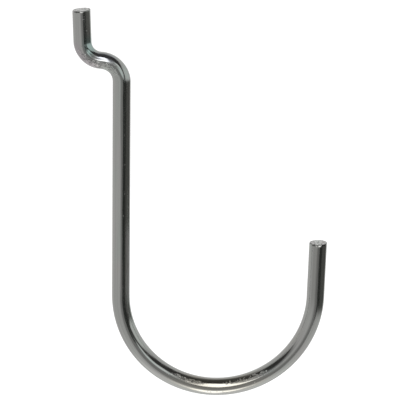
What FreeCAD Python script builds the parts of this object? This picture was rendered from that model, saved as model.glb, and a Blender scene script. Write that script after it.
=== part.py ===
"""Pegboard hook: one length of plated steel wire, bent in one plane.

A short prong stands up behind the board, a tight double bend carries the wire through the board's hole to
its front face, and the shank hangs down that face into a wide J, the cradle, whose tip points up.

The origin is on the prong's axis, where the prong meets its bend. +Z runs up the shank, the cradle opens
out towards +X, away from the board, and the wire is bent in the XZ plane. Lengths are in millimetres and
angles in degrees.
"""

import FreeCAD, Part
import math
import os

import Sketcher

NODE = "hook_wire"

# Driving dimensions: name, value, what it sets
DRIVING_DIMENSIONS = (
    ("wire_diameter", 5.0, "the wire as drawn, where it is not bent"),
    ("prong_length", 8.85, "straight part of the prong, up to the middle of its end face"),
    ("prong_lean", 2.0, "how far the prong leans back, away from the board"),
    ("prong_bend_radius", 5.5, "centreline radius of the bend under the prong"),
    ("prong_bend_turn", 84.0, "how far that bend turns the wire"),
    ("shank_bend_radius", 6.1, "centreline radius of the bend above the shank"),
    ("shank_length", 61.5, "straight part of the shank, from its bend to the cradle"),
    ("cradle_width", 50.0, "room inside the cradle, from wire to wire"),
    ("cradle_turn", 178.6, "how far the cradle turns the wire, so that the tip leans out a little"),
    ("tip_length", 16.0, "straight part of the tip, up to the middle of its end face"),
    ("bend_thinning", 0.25, "what the wire loses in thickness in the two tight bends"),
    ("bend_spread", 0.12, "what it gains there to the sides"),
    ("shear_slant", 2.5, "how far the sheared end faces are off square"),
    ("rollover_width", 0.6, "how much of an end face the blade drew down, across the wire"),
    ("rollover_drop", 0.25, "how far it drew it down, along the wire"),
    ("edge_break", 0.15, "radius that tumbling left on the sheared edges"),
)

# The runs and bends of the centreline, from the prong to the tip
PRONG, PRONG_BEND, SHANK_BEND, SHANK, CRADLE, TIP = range(6)

# How a sketch names the points of its lines and arcs, its own origin and the first edge it borrows
START, END, CENTRE = 1, 2, 3
SKETCH_ORIGIN = (-1, 1)
BORROWED = -3

# The shear's scrap is half a wire diameter of wire, give or take this share for the slant and the rollover
SCRAP_SLACK = 0.5


def driving_sheet(doc):
    """The sheet that holds the driving dimensions, each under its own name."""
    sheet = doc.addObject("Spreadsheet::Sheet", "sizes")
    for row, (name, value, meaning) in enumerate(DRIVING_DIMENSIONS, start=1):
        sheet.set(f"A{row}", name)
        sheet.set(f"B{row}", str(value))
        sheet.set(f"C{row}", meaning)
        sheet.setAlias(f"B{row}", name)
    doc.recompute()
    return sheet


def polar(angle, distance, centre=(0.0, 0.0)):
    """The point of a sketch at an angle and a distance from a centre."""
    turn = math.radians(angle)
    return FreeCAD.Vector(centre[0] + distance * math.cos(turn), centre[1] + distance * math.sin(turn), 0)


def angle_of(direction):
    """The angle of a sketch's direction, from its x axis."""
    return math.degrees(math.atan2(direction.y, direction.x))


def line(start, end):
    """A straight piece of a sketch."""
    return Part.LineSegment(FreeCAD.Vector(*start), FreeCAD.Vector(*end))


def arc(centre, radius, first, last):
    """A round piece of a sketch, anticlockwise from the first angle to the last."""
    circle = Part.Circle(FreeCAD.Vector(*centre), FreeCAD.Vector(0, 0, 1), radius)
    return Part.ArcOfCircle(circle, math.radians(first), math.radians(last))


def constrain(sketch, kind, *where):
    """A constraint without a size."""
    sketch.addConstraint(Sketcher.Constraint(kind, *where))


def dimension(sketch, name, kind, *where, formula):
    """A named dimension of the sketch that follows a formula of the sheet's sizes."""
    value = sketch.evalExpression(formula)
    if kind == "Angle":
        value = math.radians(value)
        formula = f"({formula}) * 1 deg"
    index = sketch.addConstraint(Sketcher.Constraint(kind, *where, value))
    sketch.renameConstraint(index, name)
    sketch.setExpression(f"Constraints.{name}", formula)


def bending_plane_sketch(body, name):
    """An empty sketch in the XZ plane, where the wire is bent: its x is X and its y is Z."""
    sketch = body.newObject("Sketcher::SketchObject", name)
    plane = next(plane for plane in body.Origin.OriginFeatures if plane.Role == "XZ_Plane")
    sketch.AttachmentSupport = [(plane, "")]
    sketch.MapMode = "FlatFace"
    return sketch


def edge_name(piece):
    """The name of the centreline's edge that is this run or bend."""
    return f"Edge{piece + 1}"


def centreline(body, sizes):
    """The wire's centreline, as straight runs and tangent arcs.

    Each end runs on by half a wire diameter of scrap, which the shear takes off.
    """
    scrap = sizes.wire_diameter / 2
    cradle_radius = (sizes.cradle_width + sizes.wire_diameter) / 2
    inflection = 180 + sizes.prong_lean + sizes.prong_bend_turn

    prong_end = polar(90 + sizes.prong_lean, sizes.prong_length + scrap)
    prong_centre = polar(sizes.prong_lean, sizes.prong_bend_radius)
    shank_centre = polar(inflection, sizes.prong_bend_radius + sizes.shank_bend_radius, prong_centre)
    shank_top = polar(0, sizes.shank_bend_radius, shank_centre)
    shank_foot = polar(-90, sizes.shank_length, shank_top)
    cradle_centre = polar(0, cradle_radius, shank_foot)
    tip_foot = polar(180 + sizes.cradle_turn, cradle_radius, cradle_centre)
    tip_end = polar(sizes.cradle_turn - 90, sizes.tip_length + scrap, tip_foot)

    sketch = bending_plane_sketch(body, "centreline")
    sketch.addGeometry(
        [
            line(prong_end, (0, 0, 0)),
            arc(prong_centre, sizes.prong_bend_radius, 180 + sizes.prong_lean, inflection),
            arc(shank_centre, sizes.shank_bend_radius, 0, inflection - 180),
            line(shank_top, shank_foot),
            arc(cradle_centre, cradle_radius, 180, 180 + sizes.cradle_turn),
            line(tip_foot, tip_end),
        ]
    )
    constrain(sketch, "Coincident", PRONG, END, *SKETCH_ORIGIN)
    constrain(sketch, "Tangent", PRONG, END, PRONG_BEND, START)
    constrain(sketch, "Tangent", PRONG_BEND, END, SHANK_BEND, END)
    constrain(sketch, "Tangent", SHANK_BEND, START, SHANK, START)
    constrain(sketch, "Tangent", SHANK, END, CRADLE, START)
    constrain(sketch, "Tangent", CRADLE, END, TIP, START)
    constrain(sketch, "Vertical", SHANK)

    with_scrap = "+ sizes.wire_diameter / 2"
    dimension(sketch, "prong_direction", "Angle", PRONG, formula="sizes.prong_lean - 90")
    dimension(sketch, "prong", "Distance", PRONG, formula=f"sizes.prong_length {with_scrap}")
    dimension(sketch, "prong_bend", "Radius", PRONG_BEND, formula="sizes.prong_bend_radius")
    dimension(sketch, "prong_turn", "Angle", PRONG_BEND, formula="sizes.prong_bend_turn")
    dimension(sketch, "shank_bend", "Radius", SHANK_BEND, formula="sizes.shank_bend_radius")
    dimension(sketch, "shank", "Distance", SHANK, formula="sizes.shank_length")
    dimension(sketch, "cradle", "Radius", CRADLE, formula="(sizes.cradle_width + sizes.wire_diameter) / 2")
    dimension(sketch, "cradle_turn", "Angle", CRADLE, formula="sizes.cradle_turn")
    dimension(sketch, "tip", "Distance", TIP, formula=f"sizes.tip_length {with_scrap}")
    return sketch


def section_sketch(body, path, name, bend, share):
    """An empty sketch across the centreline, at a share of the way round one of its bends.

    Its x points to the side, along -Y, and its y lies in the bending plane. Both tight bends are arcs that
    run anticlockwise, the shank's upwards, so they meet at a share of 1.
    """
    sketch = body.newObject("Sketcher::SketchObject", name)
    sketch.AttachmentSupport = [(path, edge_name(bend))]
    sketch.MapMode = "FrenetNB"
    sketch.MapPathParameter = share
    sketch.AttachmentOffset = FreeCAD.Placement(FreeCAD.Vector(), FreeCAD.Rotation(90, 0, 0))
    return sketch


def round_section(body, path, name, bend, share):
    """The wire as drawn, a circle around the centreline."""
    sketch = section_sketch(body, path, name, bend, share)
    radius = sketch.evalExpression("sizes.wire_diameter / 2")
    sketch.addGeometry(Part.Circle(FreeCAD.Vector(), FreeCAD.Vector(0, 0, 1), radius))
    constrain(sketch, "Coincident", 0, CENTRE, *SKETCH_ORIGIN)
    dimension(sketch, "wire", "Diameter", 0, formula="sizes.wire_diameter")
    return sketch


def flattened_section(body, path, name, bend, share):
    """The wire in a tight bend, an oval: wider to the sides and thinner in the bending plane."""
    sketch = section_sketch(body, path, name, bend, share)
    width = "sizes.wire_diameter + sizes.bend_spread"
    thickness = "sizes.wire_diameter - sizes.bend_thinning"
    side = FreeCAD.Vector(sketch.evalExpression(width) / 2, 0, 0)
    inside = FreeCAD.Vector(0, sketch.evalExpression(thickness) / 2, 0)
    oval = sketch.addGeometry(Part.Ellipse(side, inside, FreeCAD.Vector()))
    sketch.exposeInternalGeometry(oval)
    long_axis, short_axis = oval + 1, oval + 2
    constrain(sketch, "Coincident", oval, CENTRE, *SKETCH_ORIGIN)
    constrain(sketch, "Horizontal", long_axis)
    dimension(sketch, "width", "Distance", long_axis, formula=width)
    dimension(sketch, "thickness", "Distance", short_axis, formula=thickness)
    return sketch


def wire_along(body, path, name, pieces, sections):
    """The wire along some pieces of the centreline, through one section or several."""
    pipe = body.newObject("PartDesign::AdditivePipe", name)
    pipe.Profile = sections[0]
    pipe.Spine = (path, [edge_name(piece) for piece in pieces])
    if len(sections) > 1:
        pipe.Transformation = "Multisection"
        pipe.Sections = [(section, [""]) for section in sections[1:]]
    return pipe


def bent_wire(body, path):
    """The wire along its whole centreline: round, but for the two tight bends, which flattened it."""
    above = round_section(body, path, "above_prong_bend", PRONG_BEND, share=0)
    below = round_section(body, path, "below_shank_bend", SHANK_BEND, share=0)
    ovals = [
        flattened_section(body, path, "in_prong_bend", PRONG_BEND, share=0.5),
        flattened_section(body, path, "between_bends", PRONG_BEND, share=1),
        flattened_section(body, path, "in_shank_bend", SHANK_BEND, share=0.5),
    ]
    wire_along(body, path, "prong", (PRONG,), [above])
    wire_along(body, path, "double_bend", (PRONG_BEND, SHANK_BEND), [above, *ovals, below])
    wire_along(body, path, "shank_cradle_and_tip", (SHANK, CRADLE, TIP), [below])
    body.Document.recompute()


def shear_outline(middle, outward, left, sizes):
    """The outline of what the shear takes off a straight run, in order from the cut.

    The cut goes through the middle of the end face, slanted down to the left, seen with the end up. There
    the blade drew the edge down, and the outline follows the round shoulder out of the wire. Its last three
    lines close it above the scrap. A line across the wire, where the shoulder starts, is drawn beside it.
    """
    radius = sizes.wire_diameter / 2
    slant = math.radians(sizes.shear_slant)
    flat = radius - sizes.rollover_width

    def spot(right, out):
        """The point this far to the right of the wire's axis and beyond the middle of the end face."""
        return middle - left * right + outward * out

    cut_normal = outward * math.cos(slant) + left * math.sin(slant)
    cut_end = spot(sizes.wire_diameter, sizes.wire_diameter * math.tan(slant))
    shoulder_start = spot(-flat, -flat * math.tan(slant))
    shoulder_end = spot(-radius, -flat * math.tan(slant) - sizes.rollover_drop)
    chord = shoulder_end - shoulder_start
    shoulder_radius = chord.Length**2 / (2 * abs(chord * cut_normal))
    shoulder_centre = shoulder_start - cut_normal * shoulder_radius
    first_angle = angle_of(cut_normal)
    last_angle = angle_of(shoulder_end - shoulder_centre)
    low_left = polar(last_angle + 90, radius, shoulder_end)
    top_left = low_left + outward * 2 * sizes.wire_diameter
    top_right = cut_end + outward * ((top_left - cut_end) * outward)
    return [
        line(shoulder_start, cut_end),
        arc(shoulder_centre, shoulder_radius, first_angle, last_angle),
        line(shoulder_end, low_left),
        line(low_left, top_left),
        line(top_left, top_right),
        line(top_right, cut_end),
        line(shoulder_start, spot(0, -flat * math.tan(slant))),
    ]


def shear_sketch(body, path, name, run, foot, length, sizes):
    """The sketch of what the shear takes off a straight run, and the middle of the end face it leaves."""
    sketch = bending_plane_sketch(body, f"{name}_shear")
    sketch.recompute()
    sketch.addExternal(path.Name, edge_name(run))
    foot_point = path.getPoint(run, foot)
    borrowed_start = sketch.getPoint(BORROWED, START)
    borrowed_foot = START if borrowed_start.distanceToPoint(foot_point) < sizes.wire_diameter else END
    outward = (path.getPoint(run, START + END - foot) - foot_point).normalize()
    left = FreeCAD.Vector(-outward.y, outward.x, 0)
    middle = foot_point + outward * getattr(sizes, length)

    cut, shoulder, way_out, left_side, top, right_side, across = range(7)
    sketch.addGeometry(shear_outline(middle, outward, left, sizes))
    sketch.setConstruction(across, True)
    face_middle = sketch.addGeometry(Part.Point(middle), True)

    constrain(sketch, "Tangent", cut, START, shoulder, START)
    constrain(sketch, "Tangent", shoulder, END, way_out, START)
    constrain(sketch, "Coincident", way_out, END, left_side, START)
    constrain(sketch, "Coincident", left_side, END, top, START)
    constrain(sketch, "Coincident", top, END, right_side, START)
    constrain(sketch, "Coincident", right_side, END, cut, END)
    constrain(sketch, "Parallel", left_side, BORROWED)
    constrain(sketch, "Parallel", right_side, BORROWED)
    constrain(sketch, "Perpendicular", top, BORROWED)
    constrain(sketch, "PointOnObject", face_middle, START, BORROWED)
    constrain(sketch, "PointOnObject", face_middle, START, cut)
    constrain(sketch, "Coincident", across, START, cut, START)
    constrain(sketch, "PointOnObject", across, END, BORROWED)
    constrain(sketch, "Perpendicular", across, BORROWED)

    axis = (BORROWED, borrowed_foot)
    flat = "sizes.wire_diameter / 2 - sizes.rollover_width"
    dimension(sketch, "length", "Distance", *axis, face_middle, START, formula=f"sizes.{length}")
    dimension(sketch, "slant", "Angle", cut, START, *axis, formula="90 - sizes.shear_slant")
    dimension(sketch, "flat", "Distance", across, formula=flat)
    dimension(sketch, "drop", "Distance", shoulder, END, across, formula="sizes.rollover_drop")
    dimension(sketch, "side", "Distance", shoulder, END, BORROWED, formula="sizes.wire_diameter / 2")
    dimension(sketch, "way_out", "Distance", way_out, formula="sizes.wire_diameter / 2")
    dimension(sketch, "clear_right", "Distance", cut, END, BORROWED, formula="sizes.wire_diameter")
    dimension(sketch, "clear_above", "Distance", left_side, formula="2 * sizes.wire_diameter")
    return sketch, FreeCAD.Vector(middle.x, 0, middle.y)


def rim_edges(shape, middle, reach):
    """The names of the curved edges that lie within reach of the middle of an end face."""
    names = []
    for number, edge in enumerate(shape.Edges, start=1):
        near = all(vertex.Point.distanceToPoint(middle) < reach for vertex in edge.Vertexes)
        if near and not isinstance(edge.Curve, Part.Line):
            names.append(f"Edge{number}")
    return names


def sheared_end(body, path, name, run, foot, length, sizes):
    """Shears the scrap off a straight run and breaks the sharp edge that this leaves."""
    sketch, middle = shear_sketch(body, path, name, run, foot, length, sizes)
    before = body.Shape.Volume
    cut = body.newObject("PartDesign::Pocket", f"{name}_cut")
    cut.Profile = sketch
    cut.Type = "Length"
    cut.SideType = "Symmetric"
    cut.setExpression("Length", "2 * sizes.wire_diameter")
    body.Document.recompute()
    scrap = math.pi * (sizes.wire_diameter / 2) ** 3
    taken = before - cut.Shape.Volume
    if abs(taken - scrap) > SCRAP_SLACK * scrap:
        raise RuntimeError(f"the {name}'s shear takes off {taken:.1f} cubic mm, not about {scrap:.1f}")

    rim = body.newObject("PartDesign::Fillet", f"{name}_rim")
    rim.Base = (cut, rim_edges(cut.Shape, middle, sizes.wire_diameter))
    rim.setExpression("Radius", "sizes.edge_break")
    body.Document.recompute()


def hook(doc, sizes):
    """The whole hook, bent along its centreline and sheared at both ends, and that centreline."""
    body = doc.addObject("PartDesign::Body", NODE)
    body.Label = NODE
    path = centreline(body, sizes)
    doc.recompute()

    bent_wire(body, path)
    sheared_end(body, path, "prong", PRONG, END, "prong_length", sizes)
    sheared_end(body, path, "tip", TIP, START, "tip_length", sizes)
    return body, path


def check(doc, body):
    """Stops if any object of the document failed, or if the hook isn't one valid solid."""
    for item in doc.Objects:
        if "Invalid" in item.State or "Error" in item.State:
            raise RuntimeError(f"{item.Label} failed: {item.State}")
    shape = body.Shape
    if shape.isNull() or not shape.isValid() or len(shape.Solids) != 1:
        raise RuntimeError(f"{body.Label} isn't one valid solid")


def main():
    doc = FreeCAD.newDocument("pegboard_hook")
    sizes = driving_sheet(doc)
    body, path = hook(doc, sizes)
    doc.recompute()
    check(doc, body)

    os.makedirs("parts", exist_ok=True)
    body.Shape.exportStep(f"parts/{body.Label}.step")

    box = body.Shape.optimalBoundingBox()
    shank_x = path.getPoint(SHANK, START).x
    print(f"overall {box.XLength:.2f} x {box.YLength:.2f} x {box.ZLength:.2f} mm")
    print(f"wire to cut for one hook {path.Shape.Length - sizes.wire_diameter:.1f} mm")
    print(f"room for the board {shank_x - sizes.wire_diameter:.2f} mm")
    print(f"volume {body.Shape.Volume:.1f} cubic mm")


main()
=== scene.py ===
"""The looks of a wire hook for a perforated board, on the frame that its CAD source gives.

The wire is made the way the real one is: drawn straight, sheared at both ends, marked by the bender's tools
and then bent. Its finish reads the place that each point had on the straight wire, so lines run along it.
"""

import logging
import math
from dataclasses import dataclass
from enum import Enum

import bmesh
import bpy
from mathutils import Matrix, Vector, noise


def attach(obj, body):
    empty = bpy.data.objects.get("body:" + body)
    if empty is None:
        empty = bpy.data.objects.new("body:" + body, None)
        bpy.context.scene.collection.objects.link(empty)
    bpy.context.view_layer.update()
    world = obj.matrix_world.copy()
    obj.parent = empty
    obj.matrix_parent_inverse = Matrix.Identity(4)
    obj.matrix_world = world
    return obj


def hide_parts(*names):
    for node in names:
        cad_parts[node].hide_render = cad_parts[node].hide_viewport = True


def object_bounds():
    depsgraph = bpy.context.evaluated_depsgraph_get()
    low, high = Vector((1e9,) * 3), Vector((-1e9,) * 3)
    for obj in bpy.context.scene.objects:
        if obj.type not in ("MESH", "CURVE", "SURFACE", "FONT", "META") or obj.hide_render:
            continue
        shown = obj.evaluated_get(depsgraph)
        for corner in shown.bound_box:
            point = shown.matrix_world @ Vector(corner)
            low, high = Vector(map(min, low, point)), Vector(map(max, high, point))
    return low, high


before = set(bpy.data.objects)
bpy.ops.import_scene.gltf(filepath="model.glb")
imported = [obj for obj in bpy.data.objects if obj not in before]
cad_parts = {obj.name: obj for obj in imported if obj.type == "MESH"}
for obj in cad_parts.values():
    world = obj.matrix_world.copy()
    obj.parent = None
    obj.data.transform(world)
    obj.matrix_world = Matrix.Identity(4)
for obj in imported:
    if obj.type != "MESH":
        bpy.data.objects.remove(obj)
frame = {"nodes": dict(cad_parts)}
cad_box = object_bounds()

MM = 0.001
HALF_TURN = 180.0
# A point that is nearer the straight wire's end than this, in millimetres, is on its face.
FACE_DEPTH = 0.01
DRAWN_PLACE = "drawn_place"
Socket = bpy.types.NodeSocket
Triple = tuple[float, float, float]
log = logging.getLogger("pegboard_hook")


class Turn(Enum):
    """Which way a bend takes the wire, seen from the front, on the way from the prong to the tip."""

    LEFT = 1
    RIGHT = -1


class Squeeze(Enum):
    """Where a bend flattened the wire."""

    NOWHERE = "nowhere"
    AFTER_START = "from its middle on"
    BEFORE_END = "up to its middle"


class Surface(Enum):
    """The two kinds of surface on the wire, each with the number of its material."""

    WALL = 0
    SHEARED_FACE = 1


class Height(Enum):
    """What the height of a studio panel says: where its middle is, or where it starts."""

    MIDDLE = "the height of its middle"
    ABOVE = "it covers all that is higher"
    BELOW = "it covers all that is lower"


class MixSocket(Enum):
    """The colour sockets of a Mix node by number, because their names stand for other values too."""

    UNDER = 6
    OVER = 7
    RESULT = 2


def smooth_step(value: float) -> float:
    """A share from 0 to 1 that starts and ends gently."""
    value = min(max(value, 0.0), 1.0)
    return value * value * (3.0 - 2.0 * value)


def link_object(name: str, shape: bmesh.types.BMesh, *finishes: bpy.types.Material) -> bpy.types.Object:
    """Turns a finished shape into an object of the scene.

    Args:
        name: the object's name.
        shape: the shape, in metres, which is freed.
        finishes: its materials, in the order of their numbers.

    Returns:
        The object.
    """
    mesh = bpy.data.meshes.new(name)
    shape.to_mesh(mesh)
    shape.free()
    for finish in finishes:
        mesh.materials.append(finish)
    made = bpy.data.objects.new(name, mesh)
    bpy.context.scene.collection.objects.link(made)
    return made


@dataclass(frozen=True)
class Run:
    """A straight length of the wire, in millimetres."""

    name: str
    length: float
    ring_gap: float

    def place(self, distance: float) -> Matrix:
        """The move from the run's start to a place along it."""
        return Matrix.Translation((0.0, 0.0, distance))

    def squeezed(self, distance: float) -> float:
        """A straight run keeps its round section."""
        return 0.0


@dataclass(frozen=True)
class Bend:
    """A bend of the wire around a round former, in millimetres and degrees."""

    name: str
    radius: float
    angle: float
    turn: Turn
    ring_gap: float
    squeeze: Squeeze = Squeeze.NOWHERE

    @property
    def length(self) -> float:
        """The length of wire in the bend, along its centreline."""
        return self.radius * math.radians(self.angle)

    def place(self, distance: float) -> Matrix:
        """The move from the bend's start to a place in it.

        Args:
            distance: how far along the centreline the place is.

        Returns:
            The move, for a wire that starts along +Z and bends towards +X, or -X for a right turn.
        """
        centre = Vector((self.turn.value * self.radius, 0.0, 0.0))
        swing = Matrix.Rotation(self.turn.value * distance / self.radius, 4, "Y")
        return Matrix.Translation(centre) @ swing @ Matrix.Translation(-centre)

    def squeezed(self, distance: float) -> float:
        """How much of the full flattening the wire has at a place, from 0 to 1.

        Args:
            distance: how far along the centreline the place is.

        Returns:
            The share, which rises smoothly over half of the bend.
        """
        share = distance / self.length
        if self.squeeze is Squeeze.AFTER_START:
            return smooth_step(share / 0.5)
        if self.squeeze is Squeeze.BEFORE_END:
            return smooth_step((1.0 - share) / 0.5)
        return 0.0


@dataclass(frozen=True)
class ToolMark:
    """A shallow dent that the bender's pins or jaws pressed into the wire, in millimetres and degrees.

    Around is the side of the wire: 0 is its left, on the way from the prong to the tip, and 90 its front. The
    dent is deepest there, and reaches as far as its spread before that side and its fade beyond it. The flank
    says how much steeper than a plain smooth step it is at its two ends along the wire.
    """

    along: float
    reach: float
    around: float
    spread: float
    fade: float
    depth: float
    flank: float = 1.6

    def dip(self, place: Vector) -> float:
        """How deep the dent is at a place on the straight wire.

        Args:
            place: the place.

        Returns:
            The depth, with a crisp edge where it begins and a soft one where it fades.
        """
        gone = abs(place.z - self.along) / self.reach
        angle = math.degrees(math.atan2(place.y, place.x))
        turn = (angle - self.around + HALF_TURN) % (2.0 * HALF_TURN) - HALF_TURN
        if turn < 0.0:
            across = max(1.0 - (turn / self.spread) ** 2, 0.0)
        else:
            across = smooth_step(1.0 - turn / self.fade)
        return self.depth * smooth_step(self.flank * (1.0 - gone)) * across


@dataclass(frozen=True)
class Chip:
    """A small facet that broke out of an end's rim at the front, in millimetres.

    The slope is how far it goes into the wire for each millimetre towards the end.
    """

    right: float
    half_width: float
    height: float
    slope: float = 0.4

    def limit(self, depth: float, radius: float) -> float:
        """How far in front of the axis the chip leaves the wall, at a distance from the end."""
        flat = math.sqrt(radius * radius - self.right * self.right)
        return flat - self.slope * (self.height - depth)


@dataclass(frozen=True)
class ShearedEnd:
    """What the shear leaves at an end of the wire, in millimetres and degrees.

    The face slants down to the left, its left edge was drawn over by the blade in an arc, the blades met in a
    notch at the front, and chips broke out of the rim. Right and left are as seen from the front, with the
    end up. Fine tears start at torn_from, towards the right. The widths of smooth_rim, face_rise and burr_rim
    are shares of the radius, a grain is a number of bumps for each millimetre, and the level is where the
    noise is read, which makes the two ends differ.
    """

    slant: float = 2.5
    rollover_width: float = 0.6
    rollover_drop: float = 0.25
    rollover_arc: float = 0.9
    edge_break: float = 0.15
    reach: float = 2.4
    roughness: float = 0.07
    coarse_grain: float = 1.1
    fine_grain: float = 2.6
    fine_share: float = 0.7
    torn_from: float = -0.8
    torn_over: float = 1.2
    smooth_rim: float = 0.08
    face_rise: float = 0.2
    burr: float = 0.04
    burr_grain: float = 1.3
    burr_reach: float = 0.2
    burr_rim: float = 0.1
    notch_place: float = 0.0
    notch_width: float = 0.9
    notch_stretch: float = 1.4
    notch_depth: float = 0.3
    level: float = 0.0
    chips: tuple[Chip, ...] = ()

    def rim(self, right: float, depth: float, radius: float) -> float:
        """How far in front of the axis the wire's wall may reach near its end, with the chips broken out.

        Args:
            right: the place's distance to the right of the wire's axis.
            depth: its distance from the end.
            radius: the wire's radius.

        Returns:
            The distance in front of the axis.
        """
        near = [chip for chip in self.chips if abs(right - chip.right) < chip.half_width]
        return min([radius] + [chip.limit(depth, radius) for chip in near])

    def height(self, right: float, front: float, radius: float) -> float:
        """How far a point of the face stands beyond the middle of the face.

        Args:
            right: the point's distance to the right of the wire's axis.
            front: its distance in front of the axis.
            radius: the wire's radius.

        Returns:
            The height, negative below the middle.
        """
        height = right * math.tan(math.radians(self.slant))
        rolled = (-right - (radius - self.rollover_width)) / self.rollover_width
        if rolled > 0.0:
            fallen = 1.0 - math.sqrt(1.0 - self.rollover_arc * min(rolled, 1.0) ** 2)
            height -= self.rollover_drop * fallen / (1.0 - math.sqrt(1.0 - self.rollover_arc))
        aside = abs(right - self.notch_place) / self.notch_width
        inwards = (radius - front) / (self.notch_stretch * self.notch_width)
        if aside < 1.0 and inwards < 1.0:
            height -= self.notch_depth * smooth_step(1.0 - aside) * smooth_step(1.0 - inwards)
        return height

    def torn(self, right: float, depth: float, place: Vector, radius: float) -> float:
        """How far the torn metal of the face and the burr along its rim stand out.

        Args:
            right: the point's distance to the right of the wire's axis.
            depth: its distance from the end.
            place: its place on the straight wire.
            radius: the wire's radius.

        Returns:
            The height, negative below the plain face.
        """
        spot = Vector((place.x, place.y, self.level))
        inside = 1.0 - math.hypot(place.x, place.y) / radius
        height = 0.0
        if depth < FACE_DEPTH and inside > self.smooth_rim:
            fine = self.fine_share * smooth_step((right - self.torn_from) / self.torn_over)
            rough = noise.noise(spot * self.coarse_grain) + fine * noise.noise(spot * self.fine_grain)
            height += self.roughness * rough * min(inside / self.face_rise, 1.0)
        if depth < self.burr_reach and inside < self.burr_rim:
            height += self.burr * noise.noise(spot * self.burr_grain)
        return height


@dataclass
class NodeSheet:
    """A node tree that is being wired up."""

    tree: bpy.types.NodeTree

    def connect(self, node: bpy.types.Node, inputs: dict) -> bpy.types.Node:
        """Gives a node's inputs their values or links.

        Args:
            node: the node.
            inputs: the value or the socket for each input, by name or number.

        Returns:
            The same node.
        """
        for name, value in inputs.items():
            if isinstance(value, Socket):
                self.tree.links.new(value, node.inputs[name])
            else:
                node.inputs[name].default_value = value
        return node

    def add(self, kind: str, inputs: dict | None = None, **settings: object) -> bpy.types.Node:
        """Adds a node, sets it up and connects its inputs.

        Args:
            kind: the node's type name.
            inputs: the value or the socket for each of the node's inputs, by name or number.
            settings: the node's own properties.

        Returns:
            The new node.
        """
        node = self.tree.nodes.new(kind)
        for name, value in settings.items():
            setattr(node, name, value)
        return self.connect(node, inputs or {})

    def maths(self, operation: str, *values: Socket | float) -> Socket:
        """The result of a Math node on some values or sockets."""
        return self.add("ShaderNodeMath", dict(enumerate(values)), operation=operation).outputs[0]

    def angle(self, across: Socket, ahead: Socket) -> Socket:
        """The angle of a direction in degrees, from ahead towards across."""
        return self.maths("DEGREES", self.maths("ARCTAN2", across, ahead))

    def ramp(self, value: Socket, low: float, high: float, start: float = 0.0, end: float = 1.0) -> Socket:
        """A smooth change from one value to another.

        Args:
            value: the socket that drives the change.
            low: its value where the change begins.
            high: its value where the change ends, which may be less than low.
            start: the result up to low.
            end: the result from high on.

        Returns:
            The socket of the result.
        """
        inputs = {"Value": value, "From Min": low, "From Max": high, "To Min": start, "To Max": end}
        node = self.add("ShaderNodeMapRange", inputs, interpolation_type="SMOOTHSTEP")
        return node.outputs["Result"]

    def blend(
        self, share: Socket | float, under: Socket | Triple, over: Socket | Triple, how: str = "MIX"
    ) -> Socket:
        """Lays one colour over another.

        Args:
            share: how much of the upper colour there is, from 0 to 1.
            under: the lower colour.
            over: the upper colour.
            how: the way they blend, by its name in Blender.

        Returns:
            The socket of the blended colour.
        """
        inputs = {"Factor": share}
        for socket, colour in ((MixSocket.UNDER, under), (MixSocket.OVER, over)):
            inputs[socket.value] = colour if isinstance(colour, Socket) else (*colour, 1.0)
        node = self.add("ShaderNodeMix", inputs, data_type="RGBA", blend_type=how)
        return node.outputs[MixSocket.RESULT.value]

    def cloud(self, place: Socket, detail: float, scale: float = 1.0, roughness: float = 0.5) -> Socket:
        """Soft noise over a place.

        Args:
            place: the socket of the place.
            detail: how many finer layers the noise has.
            scale: its repeats for each unit of the place.
            roughness: the share of each finer layer.

        Returns:
            The socket of the noise, mostly from 0.3 to 0.7.
        """
        inputs = {"Vector": place, "Scale": scale, "Detail": detail, "Roughness": roughness}
        return self.add("ShaderNodeTexNoise", inputs).outputs["Fac"]

    def bump(self, height: Socket, relief: float, normal: Socket | None = None) -> Socket:
        """The surface's direction with a relief on it.

        Args:
            height: the socket of the relief's height.
            relief: how high 1 stands, in millimetres.
            normal: the direction so far, where the surface has one.

        Returns:
            The socket of the direction.
        """
        inputs = {"Strength": 1.0, "Distance": relief * MM, "Height": height}
        if normal is not None:
            inputs["Normal"] = normal
        return self.add("ShaderNodeBump", inputs).outputs["Normal"]

    def drawn_place(self) -> Socket:
        """Each point's place on the straight wire, in metres."""
        node = self.add("ShaderNodeAttribute", attribute_name=DRAWN_PLACE, attribute_type="GEOMETRY")
        return node.outputs["Vector"]

    def stretched(self, place: Socket, grain: Triple) -> Socket:
        """A place for a pattern that repeats as often as the grain says, for each metre along each axis."""
        return self.add("ShaderNodeMapping", {"Vector": place, "Scale": grain}).outputs["Vector"]

    def effect(
        self, tree: bpy.types.NodeTree, place: Socket, grain: Triple, **inputs: object
    ) -> bpy.types.Node:
        """Places one of the shared effects.

        Args:
            tree: the effect's node group.
            place: the place that its pattern reads.
            grain: the grain of its pattern.
            inputs: the effect's other inputs.

        Returns:
            The node of the effect.
        """
        inputs["Place"] = self.stretched(place, grain)
        return self.add("ShaderNodeGroup", inputs, node_tree=tree)

    def direction(self) -> tuple[Socket, Socket]:
        """The direction that a ray takes into the world.

        Returns:
            The sockets of its azimuth, from the front to the right, and of its height, both in degrees.
        """
        way = self.add("ShaderNodeTexCoord").outputs["Generated"]
        parts = self.add("ShaderNodeSeparateXYZ", {"Vector": way}).outputs
        azimuth = self.angle(parts["X"], self.maths("MULTIPLY", parts["Y"], -1.0))
        return azimuth, self.maths("DEGREES", self.maths("ARCSINE", parts["Z"]))

    def rays(self) -> tuple[Socket, Socket]:
        """Where a ray comes from.

        Returns:
            The socket that is 1 for the camera's rays, and the one that is 1 behind metal and glass.
        """
        ray = self.add("ShaderNodeLightPath").outputs
        return ray["Is Camera Ray"], self.maths("MAXIMUM", ray["Is Glossy Ray"], ray["Is Transmission Ray"])


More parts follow.
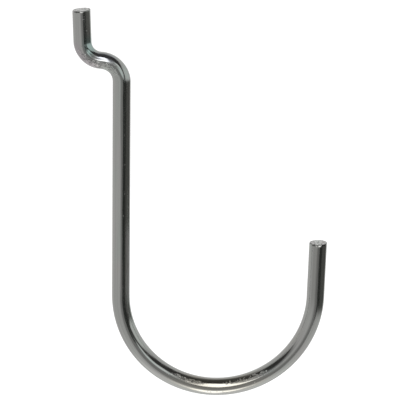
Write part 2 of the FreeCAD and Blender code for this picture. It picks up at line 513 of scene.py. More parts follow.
def start_material(name: str) -> tuple[bpy.types.Material, NodeSheet, bpy.types.Node]:
    """Starts a material.

    Args:
        name: the material's name.

    Returns:
        The material, its sheet and its shader.
    """
    material = bpy.data.materials.new(name)
    material.use_nodes = True
    return material, NodeSheet(material.node_tree), material.node_tree.nodes["Principled BSDF"]


@dataclass(frozen=True)
class Patch:
    """A place on the wire where its finish differs, in millimetres and degrees, around as in a tool mark.

    The core is the share of its reach and spread over which it is full.
    """

    name: str
    along: float
    reach: float
    around: float
    spread: float
    colour: Triple = (1.0, 1.0, 1.0)
    core: float = 0.4

    def share(self, sheet: NodeSheet, place: Socket) -> Socket:
        """The share of the patch at each point, from 0 to 1.

        Args:
            sheet: the material's sheet.
            place: the place on the straight wire.

        Returns:
            The socket of the share.
        """
        parts = sheet.add("ShaderNodeSeparateXYZ", {"Vector": place}).outputs
        turn = sheet.maths("SUBTRACT", sheet.angle(parts["Y"], parts["X"]), self.around)
        aside = sheet.maths("ABSOLUTE", sheet.maths("WRAP", turn, HALF_TURN, -HALF_TURN))
        across = sheet.ramp(aside, self.spread, self.spread * self.core)
        gone = sheet.maths("ABSOLUTE", sheet.maths("SUBTRACT", parts["Z"], self.along * MM))
        along = sheet.ramp(gone, self.reach * MM, self.reach * self.core * MM)
        share = sheet.maths("MULTIPLY", across, along)
        share.node.label = self.name
        return share


@dataclass(frozen=True)
class SharedEffects:
    """The effects that both finishes use, each a node group that is made once.

    A range gives the two values of a pattern between which its mask goes from 0 to 1.
    """

    wide_line_scale: float = 0.31
    wide_line_share: float = 1.4
    streak_range: tuple[float, float] = (0.38, 0.66)
    film_swirl: float = 0.6
    tints: tuple[tuple[float, Triple], ...] = (
        (0.30, (0.90, 1.03, 0.98)),
        (0.42, (0.98, 1.01, 0.99)),
        (0.52, (1.00, 1.00, 1.00)),
        (0.62, (1.03, 0.97, 1.00)),
        (0.72, (1.04, 1.00, 0.90)),
    )
    pit_range: tuple[float, float] = (0.34, 0.12)
    pit_patch_scale: float = 0.22
    pit_patch_range: tuple[float, float] = (0.62, 0.72)

    def group(self, name: str, inputs: dict, outputs: dict) -> tuple[NodeSheet, dict, bpy.types.Node]:
        """Starts a node group.

        Args:
            name: the group's name.
            inputs: the socket type of each input.
            outputs: the socket type of each output.

        Returns:
            The group's sheet, its inputs by name as seen from inside it, and the node that takes its outputs.
        """
        tree = bpy.data.node_groups.new(name, "ShaderNodeTree")
        for way, sockets in (("INPUT", inputs), ("OUTPUT", outputs)):
            for socket, kind in sockets.items():
                tree.interface.new_socket(name=socket, in_out=way, socket_type=kind)
        sheet = NodeSheet(tree)
        given = sheet.add("NodeGroupInput").outputs
        return sheet, {socket: given[socket] for socket in inputs}, sheet.add("NodeGroupOutput")

    def fine_lines(self) -> bpy.types.NodeTree:
        """Makes fine lines along one direction: a wire's drawing lines, or a shear's drag lines.

        Returns:
            The group, which gives the lines' height and a mask of the deeper ones.
        """
        outputs = {"Height": "NodeSocketFloat", "Streaks": "NodeSocketFloat"}
        sheet, given, result = self.group("fine_lines", {"Place": "NodeSocketVector"}, outputs)
        lines = sheet.cloud(given["Place"], detail=4.0, roughness=0.62)
        wide = sheet.cloud(given["Place"], detail=2.0, scale=self.wide_line_scale)
        height = sheet.maths("MULTIPLY_ADD", wide, self.wide_line_share, lines)
        sheet.connect(result, {"Height": height, "Streaks": sheet.ramp(lines, *self.streak_range)})
        return sheet.tree

    def plating_film(self) -> bpy.types.NodeTree:
        """Makes the clear film on bright zinc, whose thickness tints it green, pink or straw in places.

        Returns:
            The group, which gives the metal's colour under the film.
        """
        inputs = {"Place": "NodeSocketVector", "Metal": "NodeSocketColor", "Tint": "NodeSocketFloat"}
        sheet, given, result = self.group("plating_film", inputs, {"Colour": "NodeSocketColor"})
        cloud = sheet.cloud(given["Place"], detail=2.5)
        sheet.connect(cloud.node, {"Distortion": self.film_swirl})
        tints = sheet.add("ShaderNodeValToRGB", {"Fac": cloud})
        stops = tints.color_ramp.elements
        first, *between, last = self.tints
        for stop, (position, colour) in zip(stops, (first, last)):
            stop.position = position
            stop.color = (*colour, 1.0)
        for position, colour in between:
            stops.new(position).color = (*colour, 1.0)
        tinted = sheet.blend(given["Tint"], given["Metal"], tints.outputs["Color"], how="MULTIPLY")
        sheet.connect(result, {"Colour": tinted})
        return sheet.tree

    def pits(self) -> bpy.types.NodeTree:
        """Makes small pits and nicks, as a barrel or a shear leaves them.

        Returns:
            The group, which gives the pits' depth and their mask.
        """
        inputs = {"Place": "NodeSocketVector", "Share": "NodeSocketFloat"}
        outputs = {"Depth": "NodeSocketFloat", "Mask": "NodeSocketFloat"}
        sheet, given, result = self.group("pits", inputs, outputs)
        cells = sheet.add("ShaderNodeTexVoronoi", {"Vector": given["Place"], "Scale": 1.0})
        patches = sheet.cloud(given["Place"], detail=2.0, scale=self.pit_patch_scale)
        inside = sheet.ramp(cells.outputs["Distance"], *self.pit_range)
        there = sheet.ramp(sheet.maths("ADD", patches, given["Share"]), *self.pit_patch_range)
        mask = sheet.maths("MULTIPLY", inside, there)
        sheet.connect(result, {"Mask": mask, "Depth": sheet.maths("MULTIPLY", mask, -1.0)})
        return sheet.tree


@dataclass(frozen=True)
class Finish:
    """What the two finishes of the wire share.

    In both, a grain is a pattern's repeats for each metre along each axis of the straight wire, and a relief
    is in millimetres.
    """

    lines: bpy.types.NodeTree
    film: bpy.types.NodeTree
    pits: bpy.types.NodeTree


@dataclass(frozen=True)
class ZincPlate(Finish):
    """Bright zinc plate on drawn steel wire: nearly a mirror, with fine lines along the wire."""

    name: str = "zinc_plate"
    metal: Triple = (0.63, 0.635, 0.625)
    dull: Triple = (0.5, 0.5, 0.49)
    tint: float = 0.35
    tint_grain: Triple = (260.0, 260.0, 70.0)
    smoothest: float = 0.075
    roughest: float = 0.155
    rubbed_roughness: float = 0.22
    line_grain: Triple = (1700.0, 1700.0, 28.0)
    line_share: float = 0.34
    line_relief: float = 0.034
    pit_grain: Triple = (2400.0, 2400.0, 1100.0)
    pit_share: float = 0.02
    pit_roughness: float = 0.12
    pit_relief: float = 0.02
    scuff_grain: Triple = (1500.0, 1500.0, 1200.0)
    scuff_range: tuple[float, float] = (0.5, 0.62)
    scuff_relief: float = 0.3
    tints_and_painted_light: tuple[Patch, ...] = ()
    scuffs: tuple[Patch, ...] = ()
    rubbed: tuple[Patch, ...] = ()

    def colour(self, sheet: NodeSheet, place: Socket, streaks: Socket) -> Socket:
        """The metal's colour, with the film's tints, film-tint patches, and painted light and shade.

        Args:
            sheet: the material's sheet.
            place: the place on the straight wire.
            streaks: the mask of the deeper lines, which are a little duller than the metal between them.

        Returns:
            The socket of the colour.
        """
        film = sheet.effect(self.film, place, self.tint_grain, Metal=(*self.metal, 1.0), Tint=self.tint)
        colour = film.outputs["Colour"]
        # The patches lay film tints, painted sheen and painted shade over the metal.
        for coloured_patch in self.tints_and_painted_light:
            colour = sheet.blend(coloured_patch.share(sheet, place), colour, coloured_patch.colour)
        return sheet.blend(sheet.maths("MULTIPLY", streaks, self.line_share), colour, self.dull)

    def relief(self, sheet: NodeSheet, place: Socket, lines: Socket, pits: Socket) -> Socket:
        """The lines, pits and scuffs as a surface direction.

        Args:
            sheet: the material's sheet.
            place: the place on the straight wire.
            lines: the height of the fine lines.
            pits: the depth of the pits.

        Returns:
            The socket of the direction.
        """
        normal = sheet.bump(pits, self.pit_relief, sheet.bump(lines, self.line_relief))
        grain = sheet.cloud(sheet.stretched(place, self.scuff_grain), detail=2.0, roughness=0.6)
        dents = sheet.ramp(grain, *self.scuff_range)
        scuffed: Socket | float = 0.0
        for scuff in self.scuffs:
            scuffed = sheet.maths("MAXIMUM", scuff.share(sheet, place), scuffed)
        return sheet.bump(sheet.maths("MULTIPLY", scuffed, dents), self.scuff_relief, normal)

    def material(self) -> bpy.types.Material:
        """Builds the material.

        Returns:
            The material, for the wall of the wire.
        """
        material, sheet, shader = start_material(self.name)
        place = sheet.drawn_place()
        lines = sheet.effect(self.lines, place, self.line_grain).outputs
        pits = sheet.effect(self.pits, place, self.pit_grain, Share=self.pit_share).outputs
        rough = sheet.ramp(lines["Streaks"], 0.0, 1.0, self.smoothest, self.roughest)
        rough = sheet.maths("MULTIPLY_ADD", pits["Mask"], self.pit_roughness, rough)
        for patch in self.rubbed:
            rough = sheet.maths("MULTIPLY_ADD", patch.share(sheet, place), self.rubbed_roughness, rough)
        inputs = {
            "Base Color": self.colour(sheet, place, lines["Streaks"]),
            "Roughness": rough,
            "Normal": self.relief(sheet, place, lines["Height"], pits["Depth"]),
            "Metallic": 1.0,
        }
        sheet.connect(shader, inputs)
        return material


@dataclass(frozen=True)
class ShearedSteel(Finish):
    """The plated face that the shear left: drag lines, torn pits, dull blotches, a painted dark rim and a
    duller shine.
    """

    name: str = "sheared_face"
    metal: Triple = (0.9, 0.9, 0.89)
    # The colour of the dull blotches, and of the painted dark rim.
    dull: Triple = (0.26, 0.26, 0.26)
    tint: float = 0.5
    tint_grain: Triple = (500.0, 500.0, 500.0)
    roughness: float = 0.36
    drag_grain: Triple = (700.0, 4200.0, 900.0)
    pit_grain: Triple = (1500.0, 1500.0, 1500.0)
    pit_share: float = 0.26
    pit_roughness: float = 0.15
    pit_depth: float = 1.5
    relief: float = 0.13
    blotch_grain: Triple = (1400.0, 600.0, 900.0)
    blotch_range: tuple[float, float] = (0.47, 0.62)
    blotch_and_painted_rim_share: float = 0.6
    painted_rim_from: float = 1.9
    painted_rim_to: float = 2.4

    def colour(self, sheet: NodeSheet, place: Socket) -> Socket:
        """The plated metal's colour, with dull blotches and a painted dark rim, which stands in for the
        rounded edge's dark reflection.

        Args:
            sheet: the material's sheet.
            place: the place on the straight wire.

        Returns:
            The socket of the colour.
        """
        parts = sheet.add("ShaderNodeSeparateXYZ", {"Vector": place}).outputs
        flat = sheet.add("ShaderNodeCombineXYZ", {"X": parts["X"], "Y": parts["Y"]}).outputs["Vector"]
        out = sheet.add("ShaderNodeVectorMath", {0: flat}, operation="LENGTH").outputs["Value"]
        # Painted shade: the face darkens towards its rim, standing in for the dark reflection in its rounded
        # edge.
        rim = sheet.ramp(out, self.painted_rim_from * MM, self.painted_rim_to * MM, 0.0, self.blotch_and_painted_rim_share)
        cloud = sheet.cloud(sheet.stretched(place, self.blotch_grain), detail=3.0, roughness=0.6)
        dull_blotches_and_painted_rim = sheet.maths("MULTIPLY_ADD", sheet.ramp(cloud, *self.blotch_range), self.blotch_and_painted_rim_share, rim)
        film = sheet.effect(self.film, place, self.tint_grain, Metal=(*self.metal, 1.0), Tint=self.tint)
        return sheet.blend(dull_blotches_and_painted_rim, film.outputs["Colour"], self.dull)

    def material(self) -> bpy.types.Material:
        """Builds the material.

        Returns:
            The material, for both end faces.
        """
        material, sheet, shader = start_material(self.name)
        place = sheet.drawn_place()
        drag = sheet.effect(self.lines, place, self.drag_grain).outputs
        pits = sheet.effect(self.pits, place, self.pit_grain, Share=self.pit_share).outputs
        height = sheet.maths("MULTIPLY_ADD", pits["Depth"], self.pit_depth, drag["Height"])
        inputs = {
            "Base Color": self.colour(sheet, place),
            "Roughness": sheet.maths("MULTIPLY_ADD", pits["Mask"], self.pit_roughness, self.roughness),
            "Normal": sheet.bump(height, self.relief),
            "Metallic": 1.0,
        }
        sheet.connect(shader, inputs)
        return material


@dataclass
class HookWire:
    """The whole hook: one length of round wire, drawn, sheared, marked and bent. Sizes in millimetres."""

    wire_diameter: float = 5.0
    prong_length: float = 8.85
    prong_lean: float = 2.0
    prong_bend_radius: float = 5.5
    prong_bend_turn: float = 84.0
    shank_bend_radius: float = 6.1
    shank_length: float = 61.5
    cradle_width: float = 50.0
    cradle_turn: float = 178.6
    tip_length: float = 16.0
    bend_thinning: float = 0.25
    bend_spread: float = 0.12
    sides: int = 96
    face_rings: int = 9
    end_ring_gap: float = 0.2
    bend_ring_gap: float = 0.25
    ring_gap: float = 0.5
    prong_end: ShearedEnd = ShearedEnd(
        notch_place=0.0,
        notch_width=0.8,
        notch_depth=0.1,
        level=7.0,
        chips=(Chip(-0.05, 0.45, 0.32), Chip(-1.4, 0.3, 0.35)),
    )
    tip_end: ShearedEnd = ShearedEnd(
        notch_place=0.15,
        notch_width=0.9,
        notch_depth=0.3,
        level=19.0,
        chips=(Chip(0.1, 0.55, 0.42), Chip(-0.8, 0.4, 0.5)),
    )
    tool_marks: tuple[ToolMark, ...] = ()

    @property
    def radius(self) -> float:
        """The wire's radius."""
        return self.wire_diameter / 2

    def pieces(self) -> list[Run | Bend]:
        """The runs and bends of the wire.

        Returns:
            The pieces in order, from the prong's free end to the tip.
        """
        first = (self.prong_bend_radius, self.prong_bend_turn, Turn.LEFT)
        second = (self.shank_bend_radius, self.prong_bend_turn + self.prong_lean, Turn.RIGHT)
        cradle = (self.cradle_width / 2 + self.radius, self.cradle_turn, Turn.LEFT)
        return [
            Run("prong", self.prong_length, self.end_ring_gap),
            Bend("prong_bend", *first, self.bend_ring_gap, Squeeze.AFTER_START),
            Bend("shank_bend", *second, self.bend_ring_gap, Squeeze.BEFORE_END),
            Run("shank", self.shank_length, self.ring_gap),
            Bend("cradle", *cradle, self.ring_gap),
            Run("tip", self.tip_length, self.end_ring_gap),
        ]

    def start_frame(self) -> Matrix:
        """Where the wire starts.

        Returns:
            The place of the middle of the prong's end face, with +Z down the prong and +Y to the front.
        """
        lean = math.radians(self.prong_lean)
        left = Vector((math.cos(lean), 0.0, math.sin(lean)))
        front = Vector((0.0, -1.0, 0.0))
        down = Vector((math.sin(lean), 0.0, -math.cos(lean)))
        turn = Matrix((left, front, down)).transposed()
        return Matrix.Translation(-down * self.prong_length) @ turn.to_4x4()

    def draw(self) -> tuple[bmesh.types.BMesh, float]:
        """Draws the wire straight along +Z, ring by ring, and closes its ends.

        Returns:
            The mesh, in millimetres, and the wire's length.
        """
        wire = bmesh.new()
        wire.verts.layers.float_vector.new(DRAWN_PLACE)
        bmesh.ops.create_circle(wire, segments=self.sides, radius=self.radius, cap_ends=False)
        first = wire.edges[:]
        last = first
        length = 0.0
        for piece in self.pieces():
            rings = math.ceil(piece.length / piece.ring_gap)
            for _ in range(rings):
                made = bmesh.ops.extrude_edge_only(wire, edges=last)["geom"]
                moved = {item for item in made if isinstance(item, bmesh.types.BMVert)}
                edges = [item for item in made if isinstance(item, bmesh.types.BMEdge)]
                bmesh.ops.translate(wire, verts=list(moved), vec=(0.0, 0.0, piece.length / rings))
                last = [edge for edge in edges if moved.issuperset(edge.verts)]
            length += piece.length
            log.info("%s: %.1f mm of wire in %d rings", piece.name, piece.length, rings)
        self.close_end(wire, first, self.prong_end)
        self.close_end(wire, last, self.tip_end)
        bmesh.ops.recalc_face_normals(wire, faces=wire.faces[:])
        return wire, length

    def close_end(self, wire: bmesh.types.BMesh, rim: list[bmesh.types.BMEdge], end: ShearedEnd) -> None:
        """Closes one end of the wire with a face of fine rings, and breaks its sharp edge.

        Args:
            wire: the mesh of the wire.
            rim: the edges around the end.
            end: what the shear left there.
        """
        face = bmesh.ops.edgeloop_fill(wire, edges=rim)["faces"][0]
        face.material_index = Surface.SHEARED_FACE.value
        step = self.radius / (self.face_rings + 1)
        made = []
        for _ in range(self.face_rings):
            made += bmesh.ops.inset_individual(wire, faces=[face], thickness=step)["faces"]
        made += bmesh.ops.poke(wire, faces=[face])["faces"]
        for part in made:
            part.material_index = Surface.SHEARED_FACE.value
        bmesh.ops.bevel(
            wire,
            geom=rim,
            offset=end.edge_break,
            segments=4,
            profile=0.5,
            affect="EDGES",
            material=-1,
            clamp_overlap=True,
        )

    def keep_place(self, wire: bmesh.types.BMesh) -> None:
        """Writes each point's place on the straight wire, in metres, for the finishes to read.

        Args:
            wire: the straight wire.
        """
        layer = wire.verts.layers.float_vector[DRAWN_PLACE]
        for vertex in wire.verts:
            vertex[layer] = vertex.co * MM

    def shear(self, wire: bmesh.types.BMesh, length: float) -> None:
        """Chips, slants and rounds both ends as the shear leaves them, and roughens their faces.

        Args:
            wire: the straight wire.
            length: the wire's length.
        """
        for vertex in wire.verts:
            at_start = vertex.co.z < length / 2
            end = self.prong_end if at_start else self.tip_end
            depth = vertex.co.z if at_start else length - vertex.co.z
            if depth > end.reach:
                continue
            outward = -1.0 if at_start else 1.0
            right = vertex.co.x if at_start else -vertex.co.x
            vertex.co.y = min(vertex.co.y, end.rim(right, depth, self.radius))
            share = smooth_step(1.0 - depth / end.reach)
            height = end.height(right, vertex.co.y, self.radius) * share
            height += end.torn(right, depth, vertex.co, self.radius)
            vertex.co.z += outward * height

    def press(self, wire: bmesh.types.BMesh) -> None:
        """Presses the bender's tool marks into the straight wire.

        Args:
            wire: the straight wire.
        """
        for mark in self.tool_marks:
            for vertex in wire.verts:
                left = 1.0 - mark.dip(vertex.co) / self.radius
                vertex.co.x *= left
                vertex.co.y *= left

    def place_at(self, distance: float) -> tuple[Matrix, float]:
        """The place of the wire's section at a distance from the prong's end.

        Args:
            distance: the distance along the wire.

        Returns:
            The section's place on the bent wire, and how much of the full flattening it has.
        """
        here = self.start_frame()
        pieces = self.pieces()
        while len(pieces) > 1 and distance > pieces[0].length:
            passed = pieces.pop(0)
            here = here @ passed.place(passed.length)
            distance -= passed.length
        return here @ pieces[0].place(distance), pieces[0].squeezed(distance)

    def bend(self, wire: bmesh.types.BMesh) -> None:
        """Bends the straight wire ring by ring, and flattens it where a tight bend did.

        Args:
            wire: the straight wire.
        """
        layer = wire.verts.layers.float_vector[DRAWN_PLACE]
        rings: dict[float, list[bmesh.types.BMVert]] = {}
        for vertex in wire.verts:
            rings.setdefault(round(vertex[layer].z / MM, 3), []).append(vertex)
        for along, ring in rings.items():
            place, share = self.place_at(along)
            thin = 1.0 - share * self.bend_thinning / self.wire_diameter
            wide = 1.0 + share * self.bend_spread / self.wire_diameter
            move = place @ Matrix.Diagonal((thin, wide, 1.0, 1.0)) @ Matrix.Translation((0.0, 0.0, -along))
            for vertex in ring:
                vertex.co = move @ vertex.co

    def build(self, wall: bpy.types.Material, face: bpy.types.Material) -> bpy.types.Object:
        """Builds and dresses the hook.

        Args:
            wall: the finish of the wire's wall.
            face: the finish of its end faces.

        Returns:
            The finished object, in metres.
        """
        wire, length = self.draw()
        self.keep_place(wire)
        self.shear(wire, length)
        self.press(wire)
        self.bend(wire)
        bmesh.ops.scale(wire, vec=(MM, MM, MM), verts=wire.verts[:])
        for part in wire.faces:
            part.smooth = True
        log.info("bent_wire: %.1f mm of wire, %d points, %d faces", length, len(wire.verts), len(wire.faces))
        return link_object("bent_wire", wire, wall, face)


@dataclass(frozen=True)
class Panel:
    """Something in the studio around the hook, as the metal sees it: where it stands and how bright it is.

    Angles are in degrees. An azimuth of 0 is towards the camera, 90 is to its right. Soft is the width of the
    panel's soft edge, and lean how many degrees it moves to the right for each degree up.
    """

    name: str
    azimuth: float
    height: float
    half_width: float
    half_height: float
    soft: float
    colour: Triple
    lean: float = 0.0
    measured: Height = Height.MIDDLE

    def share(self, sheet: NodeSheet, azimuth: Socket, height: Socket) -> Socket:
        """The share of the panel in each direction, from 0 to 1.

        Args:
            sheet: the world's sheet.
            azimuth: the ray's azimuth.
            height: the ray's height.

        Returns:
            The socket of the share.
        """
        above = sheet.maths("SUBTRACT", height, self.height)
        edge = self.soft / 2
        if self.measured is Height.ABOVE:
            share = sheet.ramp(above, -edge, edge)
        elif self.measured is Height.BELOW:
            share = sheet.ramp(above, edge, -edge)
        else:
            away = sheet.maths("ABSOLUTE", above)
            share = sheet.ramp(away, self.half_height + edge, self.half_height - edge)
        if self.half_width < HALF_TURN:
            turn = sheet.maths("SUBTRACT", azimuth, self.azimuth)
            if self.lean:
                turn = sheet.maths("MULTIPLY_ADD", above, -self.lean, turn)
            aside = sheet.maths("ABSOLUTE", sheet.maths("WRAP", turn, HALF_TURN, -HALF_TURN))
            wide = sheet.ramp(aside, self.half_width + edge, self.half_width - edge)
            share = sheet.maths("MULTIPLY", share, wide)
        share.node.label = self.name
        return share


@dataclass(frozen=True)
class Card:
    """A dark curved card on the right, near enough to look higher from the cradle than from the prong.

    Sizes are in millimetres, and its azimuths are as a panel's. It is paler beyond paler_from.
    """

    middle: float = 20.0
    radius: float = 436.0
    first: float = 17.0
    last: float = 129.0
    top: float = -103.0
    bottom: float = -150.0
    soft_top: float = 14.0
    soft_bottom: float = 16.0
    soft_end: float = 8.0
    colour: Triple = (0.028, 0.03, 0.027)
    paler_colour: Triple = (0.085, 0.085, 0.08)
    paler_from: float = 55.0
    paler_to: float = 75.0
    steps: int = 28

    def finish(self) -> bpy.types.Material:
        """Builds the card's plain dark finish, which fades out at its edges.

        Returns:
            The material.
        """
        paint, sheet, _ = start_material("dark_card")
        place = sheet.add("ShaderNodeTexCoord").outputs["Object"]
        parts = sheet.add("ShaderNodeSeparateXYZ", {"Vector": place}).outputs
        aside = sheet.maths("SUBTRACT", parts["X"], self.middle * MM)
        turn = sheet.angle(aside, sheet.maths("MULTIPLY", parts["Y"], -1.0))
        top = ((self.top + self.soft_top) * MM, (self.top - self.soft_top) * MM)
        bottom = ((self.bottom - self.soft_bottom) * MM, (self.bottom + self.soft_bottom) * MM)
        share = sheet.maths("MULTIPLY", sheet.ramp(parts["Z"], *top), sheet.ramp(parts["Z"], *bottom))
        share = sheet.maths("MULTIPLY", share, sheet.ramp(turn, self.first, self.first + self.soft_end))
        share = sheet.maths("MULTIPLY", share, sheet.ramp(turn, self.last, self.last - self.soft_end))
        paler = sheet.ramp(turn, self.paler_from, self.paler_to)
        colour = sheet.blend(paler, self.colour, self.paler_colour)
        glow = sheet.add("ShaderNodeEmission", {"Color": colour, "Strength": 1.0}).outputs[0]
        clear = sheet.add("ShaderNodeBsdfTransparent").outputs[0]
        mixed = sheet.add("ShaderNodeMixShader", {0: share, 1: clear, 2: glow}).outputs[0]
        sheet.connect(sheet.tree.nodes["Material Output"], {"Surface": mixed})
        return paint

    def stand(self) -> bpy.types.Object:
        """Stands the card beside the table, seen by the metal alone.

        Returns:
            The card.
        """
        start = math.radians(self.first)
        foot = Vector((math.sin(start), -math.cos(start), 0.0)) * self.radius
        heights = (self.bottom - self.soft_bottom, self.top + self.soft_top)
        strip = bmesh.new()
        ends = [strip.verts.new(foot + Vector((0.0, 0.0, height))) for height in heights]
        edge = strip.edges.new(ends)
        bmesh.ops.spin(
            strip,
            geom=[*ends, edge],
            cent=(0.0, 0.0, 0.0),
            axis=(0.0, 0.0, 1.0),
            angle=math.radians(self.last - self.first),
            steps=self.steps,
        )
        bmesh.ops.translate(strip, verts=strip.verts[:], vec=(self.middle, 0.0, 0.0))
        bmesh.ops.scale(strip, vec=(MM, MM, MM), verts=strip.verts[:])
        card = link_object("studio_card", strip, self.finish())
        for ray in ("camera", "diffuse", "transmission", "volume_scatter", "shadow"):
            setattr(card, f"visible_{ray}", False)
        return card


@dataclass
class Studio:
    """The plain pale floor, the soft light and the room that the metal mirrors. Sizes in millimetres."""

    floor_gap: float = 45.0
    floor_size: float = 3000.0
    floor_grey: float = 0.8
    floor_glow: float = 0.45
    lamp_size: float = 800.0
    lamp_energy: float = 6.0
    lamp_place: Triple = (-350.0, -800.0, 1200.0)
    lamp_aim: Triple = (30.0, 0.0, -50.0)
    light_level: float = 0.75
    room: Triple = (0.445, 0.445, 0.435)
    panels: tuple[Panel, ...] = ()
    card: Card = Card()

    def surround(self) -> None:
        """Makes the world: plain white for the camera, the room for metal, and a plain soft light."""
        world = bpy.data.worlds.new("studio")
        world.use_nodes = True
        bpy.context.scene.world = world
        sheet = NodeSheet(world.node_tree)
        azimuth, height = sheet.direction()
        room: Socket | Triple = self.room
        for panel in self.panels:
            room = sheet.blend(panel.share(sheet, azimuth, height), room, panel.colour)
        camera, mirrored = sheet.rays()
        seen = sheet.blend(mirrored, (self.light_level,) * 3, room)
        shown = sheet.blend(camera, seen, (1.0, 1.0, 1.0))
        sheet.connect(world.node_tree.nodes["Background"], {"Color": shown, "Strength": 1.0})

    def lay_floor(self) -> bpy.types.Object:
        """Lays the floor below the hook.

        Returns:
            The floor.
        """
        paper, sheet, shader = start_material("studio_paper")
        glow = sheet.maths("MULTIPLY", sheet.maths("MAXIMUM", *sheet.rays()), self.floor_glow)
        inputs = {
            "Base Color": (self.floor_grey, self.floor_grey, self.floor_grey, 1.0),
            "Roughness": 0.9,
            "Emission Color": (1.0, 1.0, 1.0, 1.0),
            "Emission Strength": glow,
        }
        sheet.connect(shader, inputs)
        shape = bmesh.new()
        bmesh.ops.create_grid(shape, x_segments=8, y_segments=8, size=self.floor_size * MM / 2)
        lowest = cad_box[0][2] - self.floor_gap * MM
        bmesh.ops.translate(shape, verts=shape.verts[:], vec=(0.0, 0.0, lowest))
        floor = link_object("studio_floor", shape, paper)
        floor.visible_glossy = False
        return floor

    def hang_lamp(self) -> None:
        """Hangs a large soft lamp above and in front, to the left, for the shadow on the floor."""
        lamp = bpy.data.lights.new("soft_lamp", "AREA")
        lamp.shape = "SQUARE"
        lamp.size = self.lamp_size * MM
        lamp.energy = self.lamp_energy
        holder = bpy.data.objects.new("soft_lamp", lamp)
        spot = Vector(self.lamp_place) * MM
        aim = Vector(self.lamp_aim) * MM - spot
        holder.matrix_world = Matrix.Translation(spot) @ aim.to_track_quat("-Z", "Y").to_matrix().to_4x4()
        holder.visible_glossy = False
        bpy.context.scene.collection.objects.link(holder)


@dataclass(frozen=True)
class Viewpoint:
    """The camera, where the photograph was taken from, in millimetres and degrees."""

    target: Triple = (32.78, 0.0, -45.17)
    distance: float = 725.9
    azimuth: float = -2.55
    height: float = 15.87
    roll: float = 0.735
    lens: float = 234.0
    sensor: float = 36.0

    def place(self) -> bpy.types.Object:
        """Places the camera and makes it the scene's.

        Returns:
            The camera.
        """
        azimuth = math.radians(self.azimuth)
        height = math.radians(self.height)
        flat = math.cos(height)
        back = Vector((math.sin(azimuth) * flat, -math.cos(azimuth) * flat, math.sin(height)))
        right = Vector((0.0, 0.0, 1.0)).cross(back).normalized()
        up = back.cross(right)
        axes = Matrix((right, up, back)).transposed() @ Matrix.Rotation(math.radians(self.roll), 3, "Z")
        spot = (Vector(self.target) + back * self.distance) * MM
        lens = bpy.data.cameras.new("viewpoint")
        lens.lens = self.lens
        lens.sensor_width = self.sensor
        camera = bpy.data.objects.new("viewpoint", lens)
        camera.matrix_world = Matrix.Translation(spot) @ axes.to_4x4()
        bpy.context.scene.collection.objects.link(camera)
        bpy.context.scene.camera = camera
        return camera


ROOM = (
    Panel("wall_behind", 180.0, 0.0, 80.0, 90.0, 40.0, (0.5, 0.5, 0.49)),
    Panel("white_sheet_behind", 180.0, -20.0, 23.0, 40.0, 46.0, (0.85, 0.85, 0.85)),
    Panel("grey_room_in_front", 6.5, -12.0, 15.5, 23.0, 16.0, (0.215, 0.215, 0.21)),
    Panel("dim_wall_on_the_left", -26.0, 20.0, 18.0, 13.0, 12.0, (0.27, 0.27, 0.27)),
    Panel("dim_wall_beside_the_box", 25.5, 33.0, 14.5, 14.0, 10.0, (0.17, 0.17, 0.17)),
    Panel("pale_wall_on_the_right", 90.0, 9.0, 36.0, 13.0, 12.0, (0.54, 0.56, 0.54)),
    Panel("dark_ceiling", 0.0, 57.0, 180.0, 0.0, 34.0, (0.065, 0.065, 0.06), measured=Height.ABOVE),
    Panel("dark_ceiling_in_front", 5.0, 47.0, 100.0, 0.0, 14.0, (0.046, 0.046, 0.043), measured=Height.ABOVE),
    Panel("dark_drape_on_the_left", -57.0, 36.0, 24.0, 19.0, 14.0, (0.036, 0.036, 0.034), lean=-0.5),
    Panel("dark_drape_on_the_right", 56.0, 34.0, 17.0, 20.0, 12.0, (0.038, 0.038, 0.036), lean=0.4),
    Panel("dark_drape_further_right", 88.0, 45.0, 18.0, 17.5, 10.0, (0.04, 0.04, 0.038), lean=1.5),
    Panel("gap_beside_the_drape", 45.0, 3.0, 7.5, 14.0, 6.0, (0.06, 0.06, 0.056), lean=0.3),
    Panel("pale_corner", 28.5, 9.5, 7.5, 14.5, 6.0, (0.63, 0.68, 0.66), lean=0.2),
    Panel("lit_edge_of_the_corner", 31.5, 17.0, 4.5, 6.0, 6.0, (0.72, 0.75, 0.73), lean=0.3),
    Panel("dark_card", 41.0, -15.75, 24.0, 8.25, 4.0, (0.028, 0.03, 0.027)),
    Panel("dark_card_further_right", 92.0, -17.0, 37.0, 9.5, 7.0, (0.08, 0.08, 0.075)),
    Panel("pale_table", 0.0, -37.0, 180.0, 0.0, 14.0, (0.5, 0.5, 0.49), measured=Height.BELOW),
    Panel("pale_table_nearer", 0.0, -54.0, 180.0, 0.0, 16.0, (0.67, 0.67, 0.65), measured=Height.BELOW),
    Panel("light_on_the_table", 3.0, -65.0, 14.0, 16.0, 12.0, (1.7, 1.66, 1.58)),
    Panel("soft_box", 1.8, 28.7, 10.2, 21.8, 6.0, (1.85, 1.85, 1.8), lean=0.12),
)

TOOL_MARKS = (
    ToolMark(along=17.9, reach=8.5, around=79.0, spread=20.0, fade=95.0, depth=0.1),
    ToolMark(along=14.2, reach=4.6, around=76.0, spread=20.0, fade=70.0, depth=0.12),
    ToolMark(along=31.0, reach=3.0, around=60.0, spread=14.0, fade=14.0, depth=0.02),
)
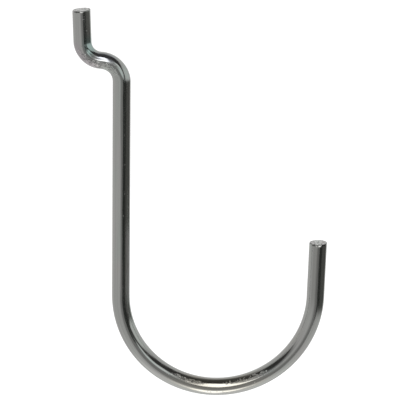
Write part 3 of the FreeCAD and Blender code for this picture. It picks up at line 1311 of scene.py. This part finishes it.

# Film tints, and painted light and shade, laid over the wall's metal colour.
TINTS_AND_PAINTED_LIGHT = (
    Patch("green_film_in_the_prong_bend", 10.5, 4.5, 45.0, 55.0, (0.53, 0.665, 0.65)),
    Patch("blue_film_in_the_double_bend", 17.5, 3.5, 50.0, 40.0, (0.60, 0.62, 0.68)),
    Patch("pink_film_outside_the_prong_bend", 12.5, 5.5, 150.0, 60.0, (0.64, 0.60, 0.63)),
    Patch("green_film_above_the_shank", 24.0, 3.0, 50.0, 45.0, (0.61, 0.645, 0.635)),
    Patch("straw_film_in_the_cradle", 131.0, 16.0, 60.0, 70.0, (0.66, 0.63, 0.57)),
    # Painted sheen: a brighter colour under the cradle's highlight stands in for light that the studio does
    # not reflect there.
    Patch("painted_sheen_under_the_cradle_highlight", 131.0, 20.0, 97.0, 18.0, (0.84, 0.82, 0.76)),
    # Painted shade: a darker colour on the front of the tip stands in for a darker reflection there.
    Patch("painted_shade_on_the_front_of_the_tip", 181.0, 15.0, 76.0, 32.0, (0.47, 0.47, 0.46)),
    # Painted shade: near-black lines just under the rims of the prong and the tip, on either side of the
    # tip's notch, stand in for the shade under the rolled rim.
    Patch("painted_shade_under_the_prong_rim", 0.15, 0.3, 117.0, 32.0, (0.1, 0.1, 0.1)),
    Patch("painted_shade_left_of_the_tip_notch", 189.07, 0.3, 61.0, 25.0, (0.1, 0.1, 0.1)),
    Patch("painted_shade_right_of_the_tip_notch", 189.07, 0.3, 125.0, 26.0, (0.1, 0.1, 0.1)),
)

SCUFFS = (
    Patch("left_of_the_cradle_bottom", 121.5, 5.5, 57.0, 14.0),
    Patch("right_of_the_cradle_bottom", 139.5, 7.5, 50.0, 14.0),
    Patch("outside_the_prong_bend", 16.5, 7.5, 118.0, 28.0),
)

RUBBED = (
    Patch("right_side_of_the_lower_shank", 78.0, 17.0, 38.0, 34.0),
    Patch("below_the_double_bend", 16.5, 5.0, 112.0, 34.0),
)


def main() -> None:
    """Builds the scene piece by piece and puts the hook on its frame."""
    logging.basicConfig(level=logging.INFO, format="%(name)s: %(message)s")
    log.info("frame loaded: %s", ", ".join(frame["nodes"]))
    bpy.context.scene.view_settings.view_transform = "Standard"
    Viewpoint().place()
    log.info("camera placed")

    effects = SharedEffects()
    shared = (effects.fine_lines(), effects.plating_film(), effects.pits())
    wall = ZincPlate(*shared, tints_and_painted_light=TINTS_AND_PAINTED_LIGHT, scuffs=SCUFFS, rubbed=RUBBED).material()
    face = ShearedSteel(*shared).material()
    hook = HookWire(tool_marks=TOOL_MARKS).build(wall, face)
    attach(hook, "root")
    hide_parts("hook_wire")

    studio = Studio(panels=ROOM)
    studio.surround()
    studio.hang_lamp()
    floor = studio.lay_floor()
    studio.card.stand()
    log.info("studio ready, %d panels", len(studio.panels))


if __name__ == "__main__":
    main()
